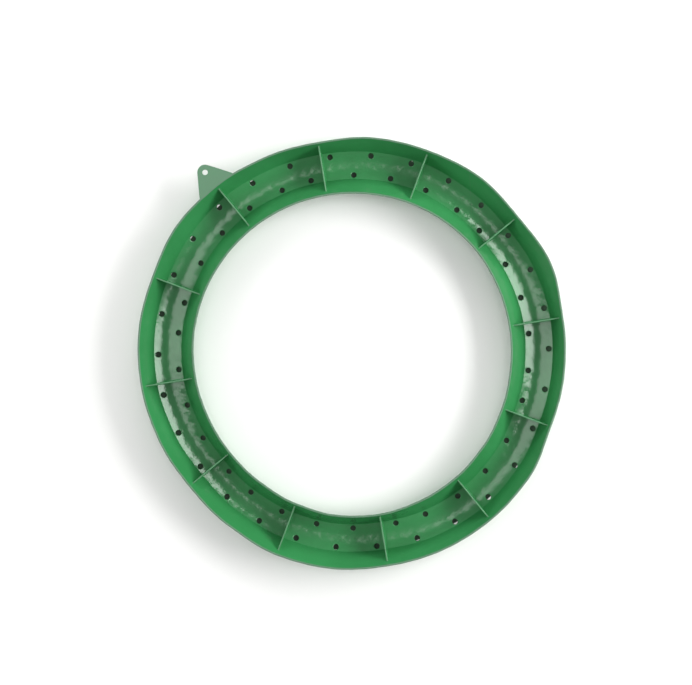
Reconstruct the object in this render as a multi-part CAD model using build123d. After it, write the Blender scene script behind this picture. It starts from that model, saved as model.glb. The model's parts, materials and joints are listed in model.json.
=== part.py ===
from build123d import *
import os
from math import atan, cos, radians, sin, sqrt, tan

# Wreath frame: a round open channel that is injection moulded in green polyethylene.
# Millimetres. It lies on the round bottom of its channel, open side up, with its hanging
# tab towards +Y. Origin: centre of the ring, level with the lowest point of the floor.
# The real frame is one moulding. Here its floor, walls, ribs and tab are solids that meet
# face to face, and each wall is in lengths that meet at the ribs.

# ---- driving sizes ----
rim_outer_d = 356.0        # across the outer rim, a nominal 14 inch frame
channel_w = 46.0           # over both walls at the rim
frame_depth = 25.0         # rim plane to the lowest point of the floor
wall_t = 1.6               # walls and floor
outer_flare = 7.9          # how far the outer wall leans out from its crease to the rim
inner_flare = 11.5         # the same for the inner wall, towards the middle
floor_sag = 2.8            # middle of the floor below its creases

rib_count = 12
rib_t = 1.5
rib_recess = 4.5           # top of a rib below the rim plane

hole_d = 4.6               # stem holes
row_holes = 30             # in each of the two rows
outer_row_inset = 3.3      # from the floor's outer crease to the outer row of holes
inner_row_inset = 3.4      # from its inner crease to the inner row
outer_row_start = 9.5      # degrees, first hole of the outer row
inner_row_start = 2.5      # degrees, first hole of the inner row
nudge_every = 5            # one inner hole in five would sit too close to a rib,
nudge = 2.0                # so it is moved on by this many degrees

tab_t = 1.8
tab_angle = 90.0           # degrees, on a rib
tab_reach = 13.8           # from the rim to the middle of the eye
tab_tip_r = 6.4            # round end of the tab
tab_base_w = 36.0          # between its sides, one wall's thickness inside the rim
eye_d = 4.6                # hole that a nail or a tie goes through

# ---- the channel's section, as (radius, height) ----
rib_step = 360 / rib_count
rim_outer_r = rim_outer_d / 2
rim_inner_r = rim_outer_r - channel_w
crease_z = wall_t + floor_sag
wall_rise = frame_depth - crease_z
outer_lean = atan(outer_flare / wall_rise)
inner_lean = atan(inner_flare / wall_rise)

outer_rim_in = Vector(rim_outer_r - wall_t / cos(outer_lean), frame_depth)
inner_rim_in = Vector(rim_inner_r + wall_t / cos(inner_lean), frame_depth)
outer_crease = Vector(outer_rim_in.X - outer_flare, crease_z)
inner_crease = Vector(inner_rim_in.X + inner_flare, crease_z)

floor_half = (outer_crease.X - inner_crease.X) / 2
floor_mid_r = (outer_crease.X + inner_crease.X) / 2
floor_r = (floor_half ** 2 + floor_sag ** 2) / (2 * floor_sag)
floor_centre = Vector(floor_mid_r, wall_t + floor_r)
floor_low = Vector(floor_mid_r, wall_t)
back_low = Vector(floor_mid_r, 0)


def back_crease(rim_out, lean, side):
    """Where a wall's back meets the floor's underside; side is +1 outside, -1 inside."""
    down = Vector(-side * sin(lean), -cos(lean))
    start = rim_out - floor_centre
    along = start.dot(down)
    spare = start.dot(start) - (floor_r + wall_t) ** 2
    return rim_out + down * (-along + sqrt(along ** 2 - spare))


outer_rim_out = Vector(rim_outer_r, frame_depth)
inner_rim_out = Vector(rim_inner_r, frame_depth)
outer_back = back_crease(outer_rim_out, outer_lean, 1)
inner_back = back_crease(inner_rim_out, inner_lean, -1)


def turned(*edges, arc=360):
    """What a closed outline of the section sweeps round the Z axis, through arc degrees from +X."""
    return revolve(Plane.XZ * make_face(edges), Axis.Z, arc)


def on_circle(radius, angle):
    return radius * cos(radians(angle)), radius * sin(radians(angle))


def channel_floor():
    """The dished floor, with its two rows of stem holes straight through it."""
    ring = turned(
        ThreePointArc(inner_crease, floor_low, outer_crease),
        Line(outer_crease, outer_back),
        ThreePointArc(outer_back, back_low, inner_back),
        Line(inner_back, inner_crease),
    )
    pitch = 360 / row_holes
    holes = []
    for k in range(row_holes):
        x, y = on_circle(outer_crease.X - outer_row_inset, outer_row_start + k * pitch)
        holes.append(Pos(x, y) * Cylinder(hole_d / 2, 2 * frame_depth))
        moved = nudge if k % nudge_every == 0 else 0
        x, y = on_circle(inner_crease.X + inner_row_inset, inner_row_start + k * pitch + moved)
        holes.append(Pos(x, y) * Cylinder(hole_d / 2, 2 * frame_depth))
    return ring - holes


def wall(crease, rim_in, rim_out, back):
    """A leaning wall, from its crease with the floor up to the flat rim, one length for each bay."""
    length = turned(
        Line(crease, rim_in),
        Line(rim_in, rim_out),
        Line(rim_out, back),
        Line(back, crease),
        arc=rib_step,
    )
    return Compound([Rot(0, 0, k * rib_step) * length for k in range(rib_count)])


def rib():
    """A cross rib on the +X side: it fills the channel's section up to its straight top."""
    top_z = frame_depth - rib_recess
    outer_top = Vector(outer_crease.X + (top_z - crease_z) * tan(outer_lean), top_z)
    inner_top = Vector(inner_crease.X - (top_z - crease_z) * tan(inner_lean), top_z)
    space = turned(
        ThreePointArc(inner_crease, floor_low, outer_crease),
        Line(outer_crease, outer_top),
        Line(outer_top, inner_top),
        Line(inner_top, inner_crease),
    )
    slab = Pos(floor_mid_r, 0, frame_depth / 2) * Box(2 * channel_w, rib_t, 2 * frame_depth)
    return space & slab


def hanging_tab():
    """A flat plate, flush with the rim: straight sides that run on to a round end."""
    eye_y = rim_outer_r + tab_reach
    base_half = tab_base_w / 2
    base_y = sqrt((rim_outer_r - wall_t) ** 2 - base_half ** 2)
    tip = Pos(0, eye_y) * Circle(tab_tip_r)
    base = Line((-base_half, base_y), (base_half, base_y))
    outline = make_hull(tip.edges() + base.edges())
    plate = Pos(0, 0, frame_depth - tab_t) * extrude(outline, tab_t)
    lower_r = rim_outer_r - 2 * tab_t * tan(outer_lean)
    inside = Pos(0, 0, frame_depth - tab_t) * Cone(lower_r, rim_outer_r, 2 * tab_t)
    eye = Pos(0, eye_y, frame_depth) * Cylinder(eye_d / 2, 4 * tab_t)
    return Rot(0, 0, tab_angle - 90) * (plate - inside - eye)


# ---- one file for each piece ----
nodes = {
    "channel_floor": channel_floor(),
    "outer_wall": wall(outer_crease, outer_rim_in, outer_rim_out, outer_back),
    "inner_wall": wall(inner_crease, inner_rim_in, inner_rim_out, inner_back),
    "hanging_tab": hanging_tab(),
}
first_rib = rib()
for k in range(rib_count):
    nodes[f"rib_{k + 1:02d}"] = Rot(0, 0, k * rib_step) * first_rib

os.makedirs("parts", exist_ok=True)
for name, shape in nodes.items():
    export_step(shape, f"parts/{name}.step")
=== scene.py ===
import json
import math

import bmesh
import bpy
import numpy as np
from mathutils import Matrix, Vector


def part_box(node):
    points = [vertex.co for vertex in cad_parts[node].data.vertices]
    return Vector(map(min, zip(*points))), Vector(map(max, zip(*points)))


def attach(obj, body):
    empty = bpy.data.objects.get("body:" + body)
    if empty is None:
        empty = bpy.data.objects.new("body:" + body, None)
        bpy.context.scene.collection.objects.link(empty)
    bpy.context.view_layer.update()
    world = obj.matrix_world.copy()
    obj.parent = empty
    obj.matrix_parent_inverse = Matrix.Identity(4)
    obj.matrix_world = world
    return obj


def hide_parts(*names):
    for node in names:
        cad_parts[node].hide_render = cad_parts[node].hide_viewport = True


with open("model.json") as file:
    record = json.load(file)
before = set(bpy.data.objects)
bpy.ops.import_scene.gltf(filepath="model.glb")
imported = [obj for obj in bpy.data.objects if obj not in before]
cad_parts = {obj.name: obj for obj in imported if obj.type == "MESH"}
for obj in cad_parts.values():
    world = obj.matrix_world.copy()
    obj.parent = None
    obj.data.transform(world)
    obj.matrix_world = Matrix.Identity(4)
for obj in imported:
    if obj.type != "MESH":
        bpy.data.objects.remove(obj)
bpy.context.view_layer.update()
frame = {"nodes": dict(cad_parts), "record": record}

# A moulded wreath frame: an open channel bent into a ring, with cross ribs, two rows of stem
# holes and a hanging tab. Shapes are worked out in millimetres as (radius, angle, height)
# round the ring's axis, and go to metres when a mesh is made.

mm = 0.001
print("frame loaded:", len(frame["nodes"]), "nodes")

channel = {
    "width": 46.0,          # over both walls at the rim
    "wall": 1.6,            # thickness of walls and floor
    "sag": 2.8,             # middle of the floor below its creases
    "outerFlare": 7.9,      # lean of the outer wall from crease to rim
    "innerFlare": 11.5,     # the same for the inner wall
    "fillet": 0.9,          # inside radius of both creases
    "rimEdge": 0.5,         # rounding of the rims
    "columns": 540,         # steps round the ring
}

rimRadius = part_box("outer_wall")[1].x / mm
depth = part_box("outer_wall")[1].z / mm
creaseHeight = channel["wall"] + channel["sag"]


def wallSide(sign, rim, flare):
    # the wall's lean and crease on one side: sign is 1 outside and -1 inside
    lean = math.atan(flare / (depth - creaseHeight))
    innerEdge = rim - sign * channel["wall"] / math.cos(lean)
    return {"sign": sign, "rim": rim, "lean": lean, "edge": innerEdge, "crease": innerEdge - sign * flare}


outerSide = wallSide(1, rimRadius, channel["outerFlare"])
innerSide = wallSide(-1, rimRadius - channel["width"], channel["innerFlare"])
floorHalf = (outerSide["crease"] - innerSide["crease"]) / 2
floorMiddle = (outerSide["crease"] + innerSide["crease"]) / 2
floorRadius = (floorHalf ** 2 + channel["sag"] ** 2) / (2 * channel["sag"])
floorCentre = np.array((floorMiddle, channel["wall"] + floorRadius))


def floorTop(radius):
    return floorCentre[1] - np.sqrt(floorRadius ** 2 - (radius - floorMiddle) ** 2)


def floorUnder(radius):
    return floorCentre[1] - np.sqrt((floorRadius + channel["wall"]) ** 2 - (radius - floorMiddle) ** 2)


# A thin moulding never comes out quite round. The first three lists are millimetres in or out,
# at each rib and each bay in turn, for the floor and for the two rims.
warp = {
    "floor": (-2.3, -1.0, 0.9, 0.8, 0.3, 0.8, 1.9, 1.4, 0.7, 1.0, 0.6, -1.2,
              -2.8, -1.3, 0.1, 1.0, 0.6, 1.8, 2.3, 1.2, -0.9, -0.8, -0.4, -0.9),
    "outerRim": (-0.3, 2.0, 1.0, 1.3, -0.8, 0.3, 2.1, 3.4, 1.2, 2.2, 1.7, 0.7,
                 -0.6, 0.9, 3.5, 3.9, 2.9, 3.3, 3.0, 2.2, -1.9, -1.2, -0.9, 2.5),
    "innerRim": (-0.1, -0.3, -0.5, -0.8, -0.7, -0.5, -0.3, -0.1, 0.3, 0.5, 0.0, -0.5,
                 -0.4, 0.4, 2.2, 3.9, 4.0, 2.9, 2.0, 0.8, -0.4, -1.1, -1.1, -0.8),
    "innerShare": 0.75,     # of the floor's warp at its inner crease
    "climbPower": 1.3,      # how the floor's warp gives way to the rims' up a wall
    "rimLift": 0.25,        # rims up and down
    "liftWaves": 3,         # how many times round the ring
    "liftStart": 1.1,       # radians
    "roll": 3.2,            # degrees that the floor is turned, its outer side up
    "ripple": 0.034,        # height of the waves in the skin
    "rippleClimb": 4,       # how soon they are full up a wall: 4 is a quarter of the way
}

# the waves in the skin: how many round the ring, sway, how many sways, slant, share
skinWaves = (
    (59, 2.1, 7, 0.31, 1.0),
    (83, 1.7, 5, -0.43, 0.8),
    (131, 1.3, 9, 0.62, 0.5),
)


def alongRing(values, angle):
    # smooth curve through values that are evenly spaced round the ring
    values = np.array(values)
    place = (angle / (2 * np.pi) * len(values)) % len(values)
    before = place.astype(int)
    share = (1 - np.cos(np.pi * (place - before))) / 2
    return values[before % len(values)] * (1 - share) + values[(before + 1) % len(values)] * share


def bent(points):
    # points of the true shape, as the moulding has them
    radius, angle, height = points[:, 0], points[:, 1], points[:, 2]
    lift = np.clip((height - creaseHeight) / (depth - creaseHeight), 0, 1)
    across = np.clip((radius - innerSide["crease"]) / (2 * floorHalf), 0, 1)
    rims = across * alongRing(warp["outerRim"], angle) + (1 - across) * alongRing(warp["innerRim"], angle)
    base = alongRing(warp["floor"], angle) * (across + (1 - across) * warp["innerShare"])
    climb = lift ** warp["climbPower"]
    shift = base * (1 - climb) + rims * climb
    wave = 0
    for count, sway, sways, slant, share in skinWaves:
        wave = wave + share * np.sin(count * angle + sway * np.sin(sways * angle) + slant * radius)
    ripple = warp["ripple"] * wave
    rimWave = np.sin(warp["liftWaves"] * angle + warp["liftStart"])
    rise = ripple * (1 - lift) + warp["rimLift"] * lift * rimWave
    rise = rise + math.tan(math.radians(warp["roll"])) * (across - 0.5) * 2 * floorHalf * (1 - lift)
    shift = shift + ripple * np.minimum(lift * warp["rippleClimb"], 1)
    radius = radius + shift
    return np.stack((radius * np.cos(angle), radius * np.sin(angle), height + rise), axis=1) * mm


class Wire:
    # a shader socket that takes part in sums
    def __init__(self, shop, socket):
        self.shop = shop
        self.socket = socket

    def maths(self, operation, first, second):
        return self.shop.node("ShaderNodeMath", {"operation": operation}, {0: first, 1: second})

    def output(self, name):
        # another output of the same node
        return Wire(self.shop, self.socket.node.outputs[name])

    def __add__(self, other):
        return self.maths("ADD", self, other)

    def __radd__(self, other):
        return self.maths("ADD", other, self)

    def __sub__(self, other):
        return self.maths("SUBTRACT", self, other)

    def __rsub__(self, other):
        return self.maths("SUBTRACT", other, self)

    def __mul__(self, other):
        return self.maths("MULTIPLY", self, other)

    def __rmul__(self, other):
        return self.maths("MULTIPLY", other, self)


class Finish:
    # the nodes of one material, or of the world
    def __init__(self, owner):
        owner.use_nodes = True
        self.owner = owner
        self.tree = owner.node_tree
        self.tree.nodes.clear()

    def node(self, kind, settings, sockets, output=0):
        # settings go in first, then the values and links of the sockets
        made = self.tree.nodes.new(kind)
        for key, value in settings.items():
            setattr(made, key, value)
        for key, value in sockets.items():
            if isinstance(value, Wire):
                self.tree.links.new(value.socket, made.inputs[key])
            else:
                made.inputs[key].default_value = value
        return Wire(self, made.outputs[output]) if made.outputs else None

    def noise(self, place, scale, detail, roughness):
        sockets = {"Vector": place, "Scale": scale, "Detail": detail, "Roughness": roughness}
        return self.node("ShaderNodeTexNoise", {}, sockets)

    def step(self, value, low, high):
        settings = {"interpolation_type": "SMOOTHSTEP", "clamp": True}
        sockets = {"Value": value, "From Min": low, "From Max": high}
        return self.node("ShaderNodeMapRange", settings, sockets)

    def blend(self, share, first, second):
        return self.node("ShaderNodeMix", {"data_type": "RGBA"}, {0: share, 6: first, 7: second}, 2)

    def surface(self, sockets):
        # closes a material with its shader and gives it back
        shader = self.node("ShaderNodeBsdfPrincipled", {}, sockets)
        self.node("ShaderNodeOutputMaterial", {}, {"Surface": shader})
        return self.owner


# the noises of the plastic: scale per metre, detail and roughness
noises = {
    "cloud": (14.0, 3.0, 0.5),      # slow colour changes
    "flow": (126.0, 4.0, 0.65),     # smaller ones, where the melt flowed
    "wave": (210.0, 3.0, 0.5),      # uneven skin of the moulding
    "comb": (560.0, 3.0, 0.6),      # finer waves that run across the channel
    "grain": (2200.0, 2.0, 0.5),
    "scuff": (90.0, 5.0, 0.7),
}

plastic = {
    "green": (0.034, 0.225, 0.07, 1),
    "deepGreen": (0.027, 0.19, 0.056, 1),
    "freshGreen": (0.045, 0.29, 0.1, 1),
    # a paler green for scuffs and edge wear, also laid on as painted highlight on rims, rib tops, the tab
    # and hole edges
    "paleGreen": (0.07, 0.158, 0.092, 1),
    "deepFrom": (0.3, 0.7),         # of the cloud, where the deep green comes in
    "freshShare": 0.16,
    "scuffShare": 0.12,
    "scratchShare": 0.4,
    "paleShare": 0.75,
    "paleFlow": 0.35,               # added where the melt flowed
    "refraction": 1.52,
    "roughness": 0.13,
    "flowRoughness": 0.07,
    "scuffRoughness": 0.18,
    "paleRoughness": 0.5,
    "waveDepth": 0.0002,            # metres
    "combDepth": 0.00007,
    "grainDepth": 0.000006,
    "combStretch": 0.6,             # of the fine waves' pattern, across the channel and up
}

scuffs = {
    "from": (0.62, 0.75),           # of their own noise, where they begin and are full
    "cloudFrom": (0.45, 0.65),      # of the cloud, so that they keep to some places
    "stretch": (1.0, 7.0, 2.0),
    "turn": (0.0, 0.0, 0.6),        # radians
}

scratch = {
    "angle": 0.311,                 # radians, where it meets the outer rim
    "radius": 0.178,                # metres, of that rim
    "slant": 5.4,                   # radians for a metre across
    "reach": 0.165,                 # metres, the radius that turns angles into lengths
    "width": (0.0001, 0.0004),      # metres off the line, from full to nothing
}


def greenPlastic():
    shop = Finish(bpy.data.materials.new("green_plastic"))
    place = shop.node("ShaderNodeTexCoord", {}, {}, "Object")
    pale = shop.node("ShaderNodeAttribute", {"attribute_name": "pale"}, {}, "Fac")

    cloud = shop.noise(place, *noises["cloud"])
    flow = shop.noise(place, *noises["flow"])
    grain = shop.noise(place, *noises["grain"])
    wave = shop.noise(place, *noises["wave"])

    # the same place as it runs round the channel: along, across and up
    x = shop.node("ShaderNodeSeparateXYZ", {}, {0: place}, "X")
    y, z = x.output("Y"), x.output("Z")
    radius = shop.node("ShaderNodeMath", {"operation": "SQRT"}, {0: x * x + y * y})
    angle = shop.node("ShaderNodeMath", {"operation": "ARCTAN2"}, {0: y, 1: x})
    along = shop.node("ShaderNodeCombineXYZ", {}, {
        "X": angle * (floorMiddle * mm),
        "Y": radius * plastic["combStretch"],
        "Z": z * plastic["combStretch"],
    })
    comb = shop.noise(along, *noises["comb"])

    # one fine slanting scratch over the outer wall and the floor
    offLine = angle - scratch["angle"] - (radius - scratch["radius"]) * scratch["slant"]
    offLine = shop.node("ShaderNodeMath", {"operation": "ABSOLUTE"}, {0: offLine * scratch["reach"]})
    scratched = 1 - shop.step(offLine, *scratch["width"])

    # short dull scuffs from handling
    stretched = shop.node("ShaderNodeMapping", {}, {
        "Vector": place,
        "Scale": scuffs["stretch"],
        "Rotation": scuffs["turn"],
    })
    scuff = shop.step(shop.noise(stretched, *noises["scuff"]), *scuffs["from"])
    scuffed = scuff * shop.step(cloud, *scuffs["cloudFrom"])

    colour = shop.blend(shop.step(cloud, *plastic["deepFrom"]), plastic["green"], plastic["deepGreen"])
    colour = shop.blend(flow * plastic["freshShare"], colour, plastic["freshGreen"])
    colour = shop.blend(scuffed * plastic["scuffShare"], colour, plastic["paleGreen"])
    colour = shop.blend(scratched * plastic["scratchShare"], colour, plastic["paleGreen"])
    # rims, rib tops, the tab and hole edges are painted paler: partly edge wear, partly painted highlight
    # where they face the light
    wearAndHighlightAmount = pale * (plastic["paleShare"] + plastic["paleFlow"] * flow)
    colour = shop.blend(wearAndHighlightAmount, colour, plastic["paleGreen"])

    roughness = plastic["roughness"] + plastic["flowRoughness"] * flow + plastic["scuffRoughness"] * scuffed
    roughness = roughness + (plastic["paleRoughness"] - plastic["roughness"]) * pale

    skin = shop.node("ShaderNodeBump", {}, {
        "Strength": 1.0,
        "Distance": plastic["waveDepth"],
        "Height": wave,
    })
    combed = shop.node("ShaderNodeBump", {}, {
        "Strength": 1.0,
        "Distance": plastic["combDepth"],
        "Height": comb,
        "Normal": skin,
    })
    fine = shop.node("ShaderNodeBump", {}, {
        "Strength": 1.0,
        "Distance": plastic["grainDepth"],
        "Height": grain,
        "Normal": combed,
    })
    return shop.surface({
        "Base Color": colour,
        "Roughness": roughness,
        "Normal": fine,
        "IOR": plastic["refraction"],
    })


greenFinish = greenPlastic()
print("finish made:", greenFinish.name)


class Shape:
    # points as (radius, angle, height) in millimetres, with how pale each is painted (edge wear and painted
    # highlight), and the faces on them
    def __init__(self):
        self.points = []
        self.pale = []
        self.faces = []

    def add(self, points, pale=0.0):
        first = len(self.points)
        self.points.extend(points)
        self.pale.extend([pale] * len(points))
        return list(range(first, len(self.points)))

    def join(self, loopA, loopB):
        # quads between two closed rows of the same length
        for k in range(len(loopA)):
            n = (k + 1) % len(loopA)
            self.faces.append((loopA[k], loopA[n], loopB[n], loopB[k]))


sharpAngle = 40             # degrees; a sharper edge isn't shaded smooth


def makePiece(name, shape, nodes):
    mesh = bpy.data.meshes.new(name)
    mesh.from_pydata(bent(np.array(shape.points)).tolist(), [], shape.faces)
    # how pale each point is painted goes to the material: edge wear and painted highlight
    mesh.attributes.new("pale", "FLOAT", "POINT").data.foreach_set("value", shape.pale)
    work = bmesh.new()
    work.from_mesh(mesh)
    bmesh.ops.recalc_face_normals(work, faces=work.faces)
    work.to_mesh(mesh)
    work.free()
    mesh.polygons.foreach_set("use_smooth", [True] * len(mesh.polygons))
    mesh.set_sharp_from_angle(angle=math.radians(sharpAngle))
    mesh.materials.append(greenFinish)
    piece = bpy.data.objects.new(name, mesh)
    bpy.context.scene.collection.objects.link(piece)
    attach(piece, "root")
    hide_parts(*nodes)
    print("made", name, "with", len(mesh.polygons), "faces")


walls = {
    "firstTurn": 0.5,       # degrees; a narrow first step keeps the floor's shading off the fillet
    "filletSteps": 8,
    "innerEdgeSteps": 5,    # round the rim's edge on the channel's side
    "outerEdgeSteps": 6,
    "climbSteps": 16,
    # the wall is painted paler up to and over its rim: edge wear and painted highlight on the rim's upward
    # face
    "lastPale": 0.05,       # how pale the last point of the face is
    "edgePale": 0.2,        # and the first of the rim, which is all pale after that
}


def bend(corner, coming, going, radius, steps):
    # an arc that rounds a corner between two directions of travel
    turn = math.acos(max(-1, min(1, float(np.dot(coming, going)))))
    cut = radius * math.tan(turn / 2)
    inward = going - coming * np.dot(coming, going)
    inward = inward / np.linalg.norm(inward)
    centre = corner - coming * cut + inward * radius
    angles = [turn * k / steps for k in range(steps + 1)]
    return [centre - inward * radius * math.cos(a) + coming * radius * math.sin(a) for a in angles]


def creaseFillet(side):
    # centre of the fillet between floor and wall, and where on the floor's arc it begins
    sign, lean = side["sign"], side["lean"]
    inward = np.array((-sign * math.cos(lean), math.sin(lean)))
    reach = np.dot(floorCentre - np.array((side["crease"], creaseHeight)), inward)
    start = math.asin((reach - channel["fillet"]) / (floorRadius - channel["fillet"])) - lean
    down = np.array((sign * math.sin(start), -math.cos(start)))
    return floorCentre + down * (floorRadius - channel["fillet"]), start


def wallProfile(side):
    # closed outline of a wall: up its channel face, over the rim and down its back
    sign, lean = side["sign"], side["lean"]
    centre, start = creaseFillet(side)
    end = math.pi / 2 - lean
    steps = walls["filletSteps"]
    turns = [start, start + math.radians(walls["firstTurn"])]
    turns += [start + (end - start) * k / steps for k in range(1, steps + 1)]
    up = np.array((sign * math.sin(lean), math.cos(lean)))
    over = np.array((sign, 0.0))
    front = [centre + channel["fillet"] * np.array((sign * math.sin(a), -math.cos(a))) for a in turns]
    rim = bend(np.array((side["edge"], depth)), up, over, channel["rimEdge"], walls["innerEdgeSteps"])
    rim += bend(np.array((side["rim"], depth)), over, -up, channel["rimEdge"], walls["outerEdgeSteps"])
    backRadius = channel["fillet"] + channel["wall"]
    back = [centre + backRadius * np.array((sign * math.sin(a), -math.cos(a))) for a in reversed(turns)]
    steps = walls["climbSteps"]
    climb = [front[-1] + (rim[0] - front[-1]) * k / steps for k in range(1, steps)]
    drop = [rim[-1] + (back[0] - rim[-1]) * k / steps for k in range(1, steps)]
    return front + climb, rim, drop + back


def wallPiece(name, side):
    front, rim, back = wallProfile(side)
    # paleness painted onto the rim: edge wear and painted highlight
    pale = [0.0] * (len(front) - 1) + [walls["lastPale"], walls["edgePale"]]
    pale += [1.0] * (len(rim) - 1) + [0.0] * len(back)
    angles = [2 * math.pi * k / channel["columns"] for k in range(channel["columns"])]
    shape = Shape()
    rings = []
    for (radius, height), wearAndHighlightAmount in zip(front + rim + back, pale):
        rings.append(shape.add([(radius, a, height) for a in angles], wearAndHighlightAmount))
    for k in range(len(rings)):
        shape.join(rings[k], rings[(k + 1) % len(rings)])
    makePiece(name, shape, [name])


holes = {
    "edge": 0.42,           # rounding where a hole opens into the channel
    "edgeSteps": 5,
    # the rounded hole edges are painted paler: a painted glint
    "edgePale": 0.25,
    "collar": 0.12,         # flat ring round that edge
    "underEdge": 0.25,
    "underSteps": 3,
    "patch": 2.95,          # half the square of floor that is laid out round a hole
    "cells": 8,             # along one side of the square
    "between": 12,          # rows of floor between the two rows of squares
    "perDegree": 1.4,       # steps between two squares along the ring
    "innerInset": 3.4,      # from the inner crease to the inner row
    "outerStart": 9.5,      # degrees
    "innerStart": 2.5,
    "nudge": 2.0,           # one inner hole in five is moved on, clear of a rib
    "nudgeEvery": 5,
}
stemHoles = next(m for m in frame["record"]["mounts"] if m["name"] == "outer_stem_holes")["dims"]


def holeSites():
    # (angle, radius, row) of each hole in order round the ring; row 0 is the inner one
    pitch = 360 / stemHoles["count"]
    innerRow = innerSide["crease"] + holes["innerInset"]
    sites = []
    for k in range(stemHoles["count"]):
        moved = holes["nudge"] if k % holes["nudgeEvery"] == 0 else 0
        sites.append((holes["innerStart"] + k * pitch + moved, innerRow, 0))
        sites.append((holes["outerStart"] + k * pitch, stemHoles["pcd_mm"] / 2, 1))
    return sorted(sites)


def evenly(start, stop, count):
    # count steps from start up to, but not with, stop
    return [start + (stop - start) * k / count for k in range(count)]


def channelFloor():
    shape = Shape()
    cells, half = holes["cells"], holes["patch"]
    sites = holeSites()
    innerRow = min(s[1] for s in sites)
    outerRow = max(s[1] for s in sites)

    # columns round the ring, and the one where each hole's square begins
    angles, firsts = [], []
    for k in range(len(sites)):
        angle, radius = sites[k][:2]
        nextAngle, nextRadius = sites[(k + 1) % len(sites)][:2]
        spread = math.degrees(half / radius)
        gapEnd = (nextAngle - angle) % 360 + angle - math.degrees(half / nextRadius)
        gapSteps = max(2, round((gapEnd - angle - spread) * holes["perDegree"]))
        firsts.append(len(angles))
        angles += evenly(angle - spread, angle + spread, cells)
        angles += evenly(angle + spread, gapEnd, gapSteps)
    angles = [math.radians(a) for a in angles]

    # rows across the floor, and where each row of squares begins; its two ends are set below
    rows = [0.0] + evenly(innerRow - half, innerRow + half, cells)
    rows += evenly(innerRow + half, outerRow - half, holes["between"])
    starts = (1, len(rows))
    rows += evenly(outerRow - half, outerRow + half, cells)
    rows += [outerRow + half, 0.0]

    ends = [side["sign"] * math.sin(creaseFillet(side)[1]) for side in (innerSide, outerSide)]
    grids = []
    for thickness, surface in ((0, floorTop), (channel["wall"], floorUnder)):
        radii = list(rows)
        radii[0] = floorMiddle + (floorRadius + thickness) * ends[0]
        radii[-1] = floorMiddle + (floorRadius + thickness) * ends[1]
        heights = [float(surface(r)) for r in radii]
        grids.append([shape.add([(r, a, h) for r, h in zip(radii, heights)]) for a in angles])

    taken = set()
    for site, first in zip(sites, firsts):
        for i in range(cells):
            for j in range(cells):
                taken.add(((first + i) % len(angles), starts[site[2]] + j))
    for i in range(len(angles)):
        n = (i + 1) % len(angles)
        for grid in grids:
            for j in range(len(rows) - 1):
                if (i, j) not in taken:
                    shape.faces.append((grid[i][j], grid[i][j + 1], grid[n][j + 1], grid[n][j]))
        for j in (0, -1):
            shape.faces.append((grids[0][i][j], grids[0][n][j], grids[1][n][j], grids[1][i][j]))

    for site, first in zip(sites, firsts):
        stemHole(shape, site, grids, first, starts[site[2]])
    makePiece("channel_floor", shape, ["channel_floor"])


def stemHole(shape, site, grids, first, start):
    # the floor round one hole, its rounded edges and its straight bore
    angle, radius = site[:2]
    cells = holes["cells"]
    bore = stemHoles["hole_r_mm"]
    columns = len(grids[0])

    # once round the square, from the corner that lies inwards and backwards of the hole
    walk = [(0, j) for j in range(cells)] + [(i, cells) for i in range(cells)]
    walk += [(cells, cells - j) for j in range(cells)] + [(cells - i, 0) for i in range(cells)]
    corner = math.radians(225)

    def ring(reach, surface, drop, pale=0.0):
        made = []
        for k in range(len(walk)):
            turn = corner + 2 * math.pi * k / len(walk)
            out = radius + reach * math.cos(turn)
            side = reach * math.sin(turn)
            r = math.hypot(out, side)
            made.append((r, math.radians(angle) + math.atan2(side, out), float(surface(r)) + drop))
        return shape.add(made, pale)

    loops = [[grids[0][(first + i) % columns][start + j] for i, j in walk]]
    edge, steps = holes["edge"], holes["edgeSteps"]
    loops.append(ring(bore + edge + holes["collar"], floorTop, 0.0))
    for k in range(steps + 1):
        a = math.pi / 2 * k / steps
        reach = bore + edge * (1 - math.sin(a))
        loops.append(ring(reach, floorTop, -edge * (1 - math.cos(a)), holes["edgePale"]))
    edge, steps = holes["underEdge"], holes["underSteps"]
    for k in range(steps + 1):
        a = math.pi / 2 * (1 - k / steps)
        loops.append(ring(bore + edge * (1 - math.sin(a)), floorUnder, edge * (1 - math.cos(a))))
    loops.append([grids[1][(first + i) % columns][start + j] for i, j in walk])
    for a, b in zip(loops, loops[1:]):
        shape.join(a, b)


ribs = {
    "draft": 0.12,          # thinner towards the top, each side
    "skirt": 0.5,           # fillet where a rib meets the floor and the walls
    "sunk": 0.25,           # how far a rib runs into the walls and the floor
    "topEdge": 0.3,
    # the rib tops are painted paler: partly wear, partly painted highlight on their upward face
    "topPale": (0.1, 0.1, 0.5, 0.5, 0.5),   # step by step over the rounded edge of the top
    "columns": 44,
    "rows": 22,
    "rowPower": 1.6,        # brings the rows closer together near the floor
}


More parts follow.
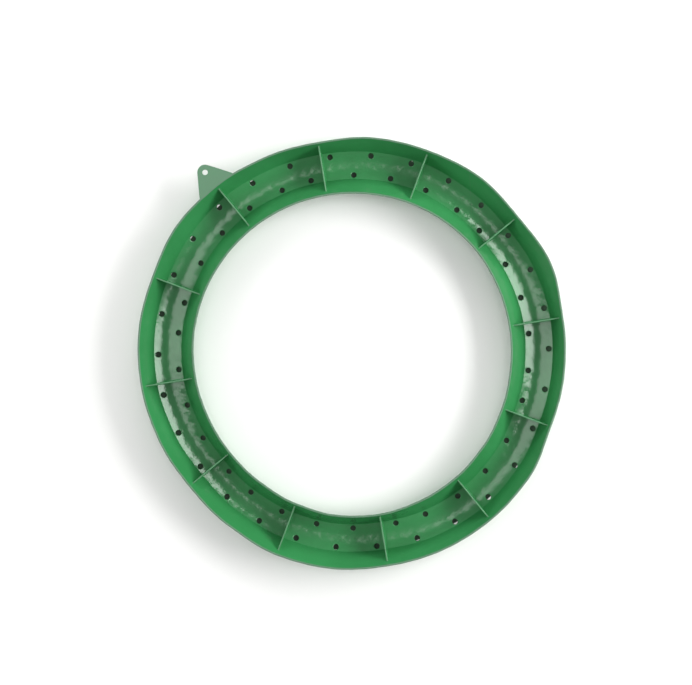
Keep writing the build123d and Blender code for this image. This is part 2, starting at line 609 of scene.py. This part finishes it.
def ribPiece(name, angle):
    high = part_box("rib_01")[1]
    halfThick = high.y / mm
    top = high.z / mm
    sunk = ribs["sunk"]
    shape = Shape()

    # across the channel, closer together near the walls
    shares = [(1 - math.cos(math.pi * k / ribs["columns"])) / 2 for k in range(ribs["columns"] + 1)]
    climbs = [0.0] + [(k / ribs["rows"]) ** ribs["rowPower"] for k in range(1, ribs["rows"] + 1)]

    def edgeRadius(side, height):
        slope = math.tan(side["lean"])
        return side["crease"] + side["sign"] * ((height - creaseHeight) * slope + sunk)

    innerTop, outerTop = edgeRadius(innerSide, top), edgeRadius(outerSide, top)
    innerFoot, outerFoot = innerSide["crease"], outerSide["crease"]
    rings = []
    for share in shares:
        foot = innerFoot + (outerFoot - innerFoot) * share
        footHeight = float(floorTop(foot)) - sunk
        head = innerTop + (outerTop - innerTop) * share
        half = []
        for climb in climbs:
            height = footHeight + (top - ribs["topEdge"] - footHeight) * climb
            radius = foot + (head - foot) * climb
            wallGap = min(radius - edgeRadius(innerSide, height), edgeRadius(outerSide, height) - radius)
            gap = max(0.0, min(wallGap, height - footHeight) - sunk)
            near = max(0.0, 1 - gap / ribs["skirt"])
            flare = ribs["skirt"] * (1 - math.sqrt(max(0.0, 1 - near ** 2)))
            half.append((radius, halfThick + flare - ribs["draft"] * climb, height, 0.0))
        for k, pale in enumerate(ribs["topPale"], 1):
            a = math.pi / 2 * k / len(ribs["topPale"])
            thick = halfThick - ribs["draft"] - ribs["topEdge"] * (1 - math.cos(a))
            height = top - ribs["topEdge"] * (1 - math.sin(a))
            half.append((head, thick, height, pale))
        section = half + [(r, -y, z, pale) for r, y, z, pale in reversed(half)]
        ring = []
        for r, y, z, pale in section:
            ring += shape.add([(r, angle + y / r, z)], pale)
        rings.append(ring)
    for a, b in zip(rings, rings[1:]):
        shape.join(a, b)
    for ring in (rings[0], rings[-1]):
        count = len(ring)
        for k in range(count // 2 - 1):
            shape.faces.append((ring[k], ring[k + 1], ring[count - 2 - k], ring[count - 1 - k]))
    makePiece(name, shape, [name])


tab = {
    "tip": 6.4,             # radius of the round end
    "baseWidth": 36.0,
    "edge": 0.4,
    "eyeEdge": 0.35,
    "edgeSteps": 4,
    "around": 96,
    "tipSteps": 24,         # along each half of the round end
    "sideSteps": 20,
    "baseSteps": 20,        # along each half of the base
    "rows": (0.15, 0.3, 0.5, 0.7, 0.85, 0.95),  # shares of the way from the eye to the outline
    "overlap": 0.9,         # of the tab on the rim
    "below": 0.02,          # its face under the rim's, so that the two don't lie in one plane
    # the tab is painted pale: partly wear, and on its upper side painted highlight where it catches more
    # light
    "eyePale": 0.8,         # how pale the upper side is, at the eye, on the face and at the outline
    "facePale": 0.85,
    "outlinePale": 0.9,
    "underEyePale": 0.5,    # and the under side
    "underPale": 0.4,
    "underOutlinePale": 0.6,
}


def tabOutline(eyeY, tip, count):
    # a round end, two straight sides and a curved base on the rim, walked evenly
    halfBase = tab["baseWidth"] / 2
    baseRadius = rimRadius - tab["overlap"]
    corner = np.array((halfBase, math.sqrt(baseRadius ** 2 - halfBase ** 2)))
    eye = np.array((0.0, eyeY))
    line = corner - eye
    reach = np.linalg.norm(line)
    swing = math.atan2(line[1], line[0]) + math.acos(tip / reach)
    tipAngles = evenly(math.pi / 2, swing, tab["tipSteps"])
    path = [eye + tip * np.array((math.cos(a), math.sin(a))) for a in tipAngles]
    touch = eye + tip * np.array((math.cos(swing), math.sin(swing)))
    steps = tab["sideSteps"]
    path += [touch + (corner - touch) * k / steps for k in range(steps)]
    baseAngles = evenly(math.atan2(corner[1], corner[0]), math.pi / 2, tab["baseSteps"])
    path += [baseRadius * np.array((math.cos(a), math.sin(a))) for a in baseAngles]
    path.append(np.array((0.0, baseRadius)))
    mirrored = [p * np.array((-1, 1)) for p in reversed(path[1:-1])]
    whole = np.array(path + mirrored)
    bearing = np.unwrap(np.arctan2(whole[:, 0], whole[:, 1] - eyeY))
    wanted = [2 * math.pi * k / count for k in range(count)]
    order = np.argsort(bearing)
    distance = np.hypot(whole[:, 0], whole[:, 1] - eyeY)
    found = np.interp(wanted, bearing[order], distance[order], period=2 * math.pi)
    return list(zip(found, wanted))


def hangingTab():
    eye = next(m for m in frame["record"]["mounts"] if m["name"] == "hanging_eye")
    eyeY = eye["pos_m"][1] / mm
    bore = eye["dims"]["r_mm"]
    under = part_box("hanging_tab")[0].z / mm
    face = depth - tab["below"]
    outline = tabOutline(eyeY, tab["tip"], tab["around"])
    shape = Shape()

    def ring(share, inset, height, pale):
        # share 0 is the eye, which an inset widens, and share 1 the outline, which it draws in
        made = []
        for distance, bearing in outline:
            reach = bore + inset if share == 0 else bore + (distance - inset - bore) * share
            x, y = reach * math.sin(bearing), eyeY + reach * math.cos(bearing)
            made.append((math.hypot(x, y), math.atan2(y, x), height))
        return shape.add(made, pale)

    def rounded(share, radius, height, inwards, angles, pale):
        # the rings of one rounded edge; inwards is 1 or -1, the way from the face into the tab
        made = []
        for a in angles:
            level = height + inwards * radius * (1 - math.cos(a))
            made.append(ring(share, radius * (1 - math.sin(a)), level, pale))
        return made

    edge, eyeEdge, rows = tab["edge"], tab["eyeEdge"], tab["rows"]
    away = [math.pi / 2 * k / tab["edgeSteps"] for k in range(tab["edgeSteps"] + 1)]
    back = away[::-1]
    loops = rounded(0, eyeEdge, face, -1, back, tab["eyePale"])
    loops += [ring(share, edge, face, tab["facePale"]) for share in rows]
    loops += rounded(1, edge, face, -1, away, tab["outlinePale"])
    loops += rounded(1, edge, under, 1, back, tab["underOutlinePale"])
    loops += [ring(share, edge, under, tab["underPale"]) for share in reversed(rows)]
    loops += rounded(0, eyeEdge, under, 1, away, tab["underEyePale"])
    for k in range(len(loops)):
        shape.join(loops[k], loops[(k + 1) % len(loops)])
    makePiece("hanging_tab", shape, ["hanging_tab"])


channelFloor()
wallPiece("outer_wall", outerSide)
wallPiece("inner_wall", innerSide)
ribNames = sorted(n for n in frame["nodes"] if n.startswith("rib_"))
for k, ribName in enumerate(ribNames):
    ribPiece(ribName, 2 * math.pi * k / len(ribNames))
hangingTab()

studio = {
    "sides": 0.5,           # soft light from all round
    "above": 0.3,           # and from overhead
    "fade": (0.6, 0.9),     # sines of the heights where one ends and the other begins
    "turn": -39.4,          # degrees from the frame's X to the view's right-hand direction
    "half": 6.0,            # metres, of the floor
    "drop": 0.2,            # of the floor, to lie just under the strip of painted shade
    "colour": (0.86, 0.86, 0.85, 1),
    "shade": (0.82, 0.82, 0.81, 1),
    "cloud": (3.0, 2.0, 0.5),       # noise: scale per metre, detail and roughness
    "cloudShare": 0.3,
    "roughness": 0.85,
}


def inPlan(right, up, height):
    # a place given as right and up in the view, in millimetres from the ring's axis
    turn = math.radians(studio["turn"])
    x = right * math.cos(turn) - up * math.sin(turn)
    y = right * math.sin(turn) + up * math.cos(turn)
    return Vector((x, y, height)) * mm


def paleFloor():
    shop = Finish(bpy.data.materials.new("studio_floor"))
    place = shop.node("ShaderNodeTexCoord", {}, {}, "Object")
    cloud = shop.noise(place, *studio["cloud"])
    colour = shop.blend(cloud * studio["cloudShare"], studio["colour"], studio["shade"])
    mesh = bpy.data.meshes.new("studio_floor")
    half, drop = studio["half"], -studio["drop"] * mm
    corners = [(-half, -half, drop), (half, -half, drop), (half, half, drop), (-half, half, drop)]
    mesh.from_pydata(corners, [], [(0, 1, 2, 3)])
    mesh.materials.append(shop.surface({"Base Color": colour, "Roughness": studio["roughness"]}))
    ground = bpy.data.objects.new("studio_floor", mesh)
    bpy.context.scene.collection.objects.link(ground)


# a dark sheet under the ring: painted shade for the stem holes and painted contact shadow
shadeSheet = {
    "inner": 145.0,
    "outer": 168.5,
    "gap": 0.1,             # under the ring, so that it doesn't touch
    "steps": 180,
    "colour": (0.006, 0.02, 0.009, 1),
    "fibreColour": (0.02, 0.045, 0.022, 1),
    "fibres": (800.0, 2.0, 0.5),    # noise: scale per metre, detail and roughness
    "roughness": 0.95,
}


def paintedShadeStrip():
    # a dark sheet under the channel: painted shade that keeps the pale floor from shining through the stem
    # holes, and shows as a contact shadow from low views
    shop = Finish(bpy.data.materials.new("dark_felt"))
    place = shop.node("ShaderNodeTexCoord", {}, {}, "Object")
    colour = shop.blend(shop.noise(place, *shadeSheet["fibres"]), shadeSheet["colour"], shadeSheet["fibreColour"])
    points, faces = [], []
    steps = shadeSheet["steps"]
    for k in range(steps):
        a = 2 * math.pi * k / steps
        for radius in (shadeSheet["inner"], shadeSheet["outer"]):
            points.append((radius * mm * math.cos(a), radius * mm * math.sin(a), -shadeSheet["gap"] * mm))
        n = 2 * ((k + 1) % steps)
        faces.append((2 * k, 2 * k + 1, n + 1, n))
    mesh = bpy.data.meshes.new("felt_strip")
    mesh.from_pydata(points, [], faces)
    mesh.materials.append(shop.surface({"Base Color": colour, "Roughness": shadeSheet["roughness"]}))
    strip = bpy.data.objects.new("felt_strip", mesh)
    bpy.context.scene.collection.objects.link(strip)


paleFloor()
paintedShadeStrip()

# each light's two ends as (right, up, height) in millimetres, its width in metres and its power;
# a mirrored one is seen in reflections only, and the others light the surface only
lights = {
    "right_sheen": {
        "from": (918, 445, 2400), "to": (2760, 445, 1200),
        "width": 1.61, "power": 90, "mirrored": True,
    },
    "left_sheen": {
        "from": (-450, 175, 4000), "to": (-3400, 175, 2150),
        "width": 1.65, "power": 58, "mirrored": True,
    },
    "right_key": {
        "from": (1250, 200, 1100), "to": (1600, 260, 600),
        "width": 1.4, "power": 34, "mirrored": False,
    },
    "overhead": {
        "from": (-750, 0, 2500), "to": (750, 0, 2500),
        "width": 1.5, "power": 14, "mirrored": False,
    },
    "top_fill": {
        "from": (-100, 1300, 900), "to": (-100, 1700, 400),
        "width": 1.4, "power": 13, "mirrored": False,
    },
    "left_fill": {
        "from": (-1300, -200, 900), "to": (-1700, -200, 400),
        "width": 1.4, "power": 9.5, "mirrored": False,
    },
}


def softbox(name, start, end, width, power, mirrored):
    # a flat light between two ends, turned to the ring
    middle = (start + end) / 2
    data = bpy.data.lights.new(name, "AREA")
    data.shape = "RECTANGLE"
    data.size = width
    data.size_y = (end - start).length
    data.energy = power
    light = bpy.data.objects.new(name, data)
    bpy.context.scene.collection.objects.link(light)
    along = (end - start).normalized()
    across = along.cross(Vector((0, 0, 1))).normalized()
    facing = across.cross(along)
    if facing.dot(middle) < 0:
        facing = -facing
    turned = Matrix((across, facing.cross(across), facing)).transposed().to_4x4()
    light.matrix_world = Matrix.Translation(middle) @ turned
    light.visible_glossy = mirrored
    light.visible_diffuse = not mirrored
    light.visible_camera = False


for name, light in lights.items():
    start, end = inPlan(*light["from"]), inPlan(*light["to"])
    softbox(name, start, end, light["width"], light["power"], light["mirrored"])


def surround():
    # even light from the sides and less from straight above, where a studio is darker
    world = bpy.data.worlds.new("studio")
    shop = Finish(world)
    place = shop.node("ShaderNodeTexCoord", {}, {}, "Generated")
    rise = shop.node("ShaderNodeSeparateXYZ", {}, {0: place}, "Z")
    strength = shop.node("ShaderNodeMapRange", {}, {
        "Value": rise,
        "From Min": studio["fade"][0],
        "From Max": studio["fade"][1],
        "To Min": studio["sides"],
        "To Max": studio["above"],
    })
    light = shop.node("ShaderNodeBackground", {}, {"Color": (1, 1, 1, 1), "Strength": strength})
    shop.node("ShaderNodeOutputWorld", {}, {"Surface": light})
    bpy.context.scene.world = world


surround()

view = {
    "height": 1270.0,       # of the camera over the rim
    "footRight": 45.0,      # the point straight under it
    "footUp": 22.0,
    "lookRight": -5.4,      # the point in the middle of the view
    "lookUp": 8.0,
    "across": 574.8,        # what the view's width takes in at the rim
    "sensor": 36.0,
}


def aimed(place, target, up):
    # a matrix that stands at place and looks at target
    ahead = (target - place).normalized()
    right = ahead.cross(up).normalized()
    above = right.cross(ahead)
    turned = Matrix((right, above, -ahead)).transposed().to_4x4()
    return Matrix.Translation(place) @ turned


cameraData = bpy.data.cameras.new("camera")
cameraData.sensor_width = view["sensor"]
cameraData.lens = cameraData.sensor_width * view["height"] / view["across"]
camera = bpy.data.objects.new("camera", cameraData)
bpy.context.scene.collection.objects.link(camera)
eyePoint = inPlan(view["footRight"], view["footUp"], depth + view["height"])
lookPoint = inPlan(view["lookRight"], view["lookUp"], depth)
viewUp = inPlan(0, 1000, 0)
camera.matrix_world = aimed(eyePoint, lookPoint, viewUp)
bpy.context.scene.camera = camera
bpy.context.scene.view_settings.view_transform = "Standard"
print("camera and lights set")
